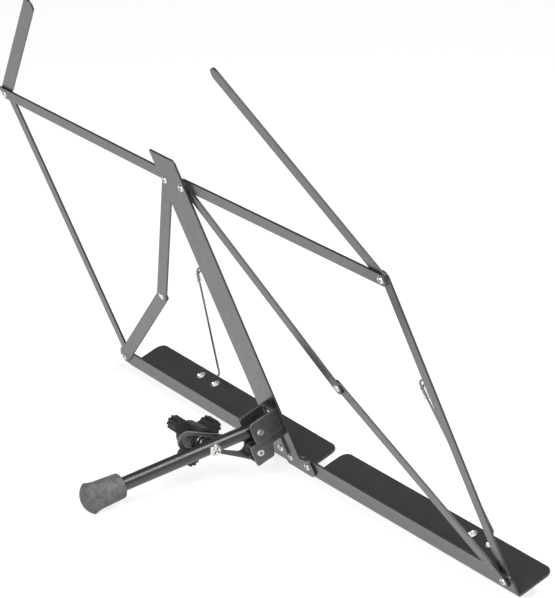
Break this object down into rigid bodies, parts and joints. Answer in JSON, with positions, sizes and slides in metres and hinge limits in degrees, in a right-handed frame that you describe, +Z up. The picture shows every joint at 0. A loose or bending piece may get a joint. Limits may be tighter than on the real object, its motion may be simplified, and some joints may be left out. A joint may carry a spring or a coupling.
{
  "type": "music stand",
  "caption": "Folding table-top music stand: flat metal spine, hinged trays, crossbars, side bars, braces and arms, wire page holders, and a clamped prop leg with a rubber foot.",
  "frame": {"origin": "on the ground, in the middle of the stand's outline seen from above", "axes": "+X to the player's right, +Y towards the prop leg, +Z up; the paper side faces -Y"},
  "size_m": [0.521, 0.208, 0.341],
  "materials": {
    "painted_strip": "satin grey stove enamel",
    "painted_tray": "satin dark grey stove enamel",
    "tube_enamel": "gloss black enamel",
    "bright_steel": "nickel plated",
    "spring_wire": "drawn",
    "clear_vinyl": "clear",
    "black_plastic": "moulded",
    "foot_rubber": "moulded"
  },
  "bodies": {
    "spine": {"spine": "painted_strip", "leg_bracket": "painted_strip", "head_rivets": "bright_steel", "foot_rivets": "bright_steel", "bracket_rivets": "bright_steel", "leg_pivot": "bright_steel", "stay_pivot": "bright_steel"},
    "leg": {"leg_tube": "tube_enamel", "leg_foot": "foot_rubber", "clamp_screw": "bright_steel", "clamp_spacer": "bright_steel", "clamp_washer": "bright_steel"},
    "stay": {"stay_arm": "painted_strip"},
    "knob": {"clamp_knob": "black_plastic"},
    "tray_right": {"tray_right": "painted_tray", "tray_rivet_right": "bright_steel", "holder_clip_right": "bright_steel", "clip_eyelets_right": "bright_steel"},
    "crossbar_right": {"crossbar_right": "painted_strip", "crossbar_rivet_right": "bright_steel"},
    "side_bar_right": {"side_bar_right": "painted_strip"},
    "brace_upper_right": {"brace_upper_right": "painted_strip", "elbow_rivet_right": "bright_steel"},
    "brace_lower_right": {"brace_lower_right": "painted_strip", "elbow_tail_right": "bright_steel"},
    "top_arm_right": {"top_arm_right": "painted_strip"},
    "page_holder_right": {"page_holder_right": "spring_wire", "holder_sleeve_right": "clear_vinyl"},
    "tray_left": {"tray_left": "painted_tray", "tray_rivet_left": "bright_steel", "holder_clip_left": "bright_steel", "clip_eyelets_left": "bright_steel"},
    "crossbar_left": {"crossbar_left": "painted_strip", "crossbar_rivet_left": "bright_steel"},
    "side_bar_left": {"side_bar_left": "painted_strip"},
    "brace_upper_left": {"brace_upper_left": "painted_strip", "elbow_rivet_left": "bright_steel"},
    "brace_lower_left": {"brace_lower_left": "painted_strip", "elbow_tail_left": "bright_steel"},
    "top_arm_left": {"top_arm_left": "painted_strip"},
    "page_holder_left": {"page_holder_left": "spring_wire", "holder_sleeve_left": "clear_vinyl"}
  },
  "joints": [
    {"name": "fold_right", "type": "hinge", "parent": "spine", "child": "tray_right", "pos_m": [0.012, -0.06851, 0.00874], "axis": [0, -0.91, 0.4147], "range_deg": [0, 85]},
    {"name": "crossbar_turn_right", "type": "hinge", "parent": "spine", "child": "crossbar_right", "pos_m": [0.0155, 0.03238, 0.22651], "axis": [0, -0.91, 0.4147], "range_deg": [0, 85]},
    {"name": "side_bar_turn_right", "type": "hinge", "parent": "tray_right", "child": "side_bar_right", "pos_m": [0.252, -0.06988, 0.00937], "axis": [0, -0.91, 0.4147], "range_deg": [-85, 0]},
    {"name": "brace_upper_turn_right", "type": "hinge", "parent": "spine", "child": "brace_upper_right", "pos_m": [0.0155, 0.03374, 0.22589], "axis": [0, -0.91, 0.4147], "range_deg": [-37.45, 0]},
    {"name": "brace_lower_turn_right", "type": "hinge", "parent": "tray_right", "child": "brace_lower_right", "pos_m": [0.252, -0.06715, 0.00812], "axis": [0, -0.91, 0.4147], "range_deg": [0, 37.29]},
    {"name": "arm_swing_right", "type": "hinge", "parent": "crossbar_right", "child": "top_arm_right", "pos_m": [0.2555, 0.03101, 0.22713], "axis": [0, -0.91, 0.4147], "range_deg": [-48.4, 41.6]},
    {"name": "holder_swing_right", "type": "hinge", "parent": "tray_right", "child": "page_holder_right", "pos_m": [0.172, -0.104, 0.01239], "axis": [0, -0.91, 0.4147], "range_deg": [-111.2, 68.8]},
    {"name": "fold_left", "type": "hinge", "parent": "spine", "child": "tray_left", "pos_m": [-0.01, -0.06851, 0.00874], "axis": [0, 0.91, -0.4147], "range_deg": [0, 83.9]},
    {"name": "crossbar_turn_left", "type": "hinge", "parent": "spine", "child": "crossbar_left", "pos_m": [-0.0065, 0.03238, 0.22651], "axis": [0, 0.91, -0.4147], "range_deg": [0, 83.9]},
    {"name": "side_bar_turn_left", "type": "hinge", "parent": "tray_left", "child": "side_bar_left", "pos_m": [-0.24995, -0.06797, 0.01356], "axis": [0, 0.91, -0.4147], "range_deg": [-83.9, 0]},
    {"name": "brace_upper_turn_left", "type": "hinge", "parent": "spine", "child": "brace_upper_left", "pos_m": [-0.0065, 0.03374, 0.22589], "axis": [0, 0.91, -0.4147], "range_deg": [-39.66, 0]},
    {"name": "brace_lower_turn_left", "type": "hinge", "parent": "tray_left", "child": "brace_lower_left", "pos_m": [-0.24995, -0.06524, 0.01231], "axis": [0, 0.91, -0.4147], "range_deg": [0, 39.54]},
    {"name": "arm_swing_left", "type": "hinge", "parent": "crossbar_left", "child": "top_arm_left", "pos_m": [-0.24645, 0.03293, 0.23133], "axis": [0, 0.91, -0.4147], "range_deg": [-46.9, 44.2]},
    {"name": "holder_swing_left", "type": "hinge", "parent": "tray_left", "child": "page_holder_left", "pos_m": [-0.18688, -0.10259, 0.01547], "axis": [0, 0.91, -0.4147], "range_deg": [-99.5, 80.5]},
    {"name": "leg_fold", "type": "hinge", "parent": "spine", "child": "leg", "pos_m": [0.0045, -0.03235, 0.03842], "axis": [1, 0, 0], "range_deg": [-6, 77]},
    {"name": "stay_turn", "type": "hinge", "parent": "spine", "child": "stay", "pos_m": [0.0045, -0.03366, 0.02253], "axis": [1, 0, 0], "range_deg": [-4.55, 58.33]},
    {"name": "knob_turn", "type": "hinge", "parent": "leg", "child": "knob", "pos_m": [0.0045, 0.00288, 0.03103], "axis": [1, 0, 0], "continuous": true}
  ],
  "couplings": [
    {"joint": "crossbar_turn_right", "follows": "fold_right", "ratio": 1},
    {"joint": "side_bar_turn_right", "follows": "fold_right", "ratio": -1},
    {"joint": "brace_upper_turn_right", "follows": "fold_right", "ratio": -0.44063},
    {"joint": "brace_lower_turn_right", "follows": "fold_right", "ratio": 0.43873},
    {"joint": "crossbar_turn_left", "follows": "fold_left", "ratio": 1},
    {"joint": "side_bar_turn_left", "follows": "fold_left", "ratio": -1},
    {"joint": "brace_upper_turn_left", "follows": "fold_left", "ratio": -0.47268},
    {"joint": "brace_lower_turn_left", "follows": "fold_left", "ratio": 0.47133},
    {"joint": "stay_turn", "follows": "leg_fold", "ratio": 0.7575}
  ]
}
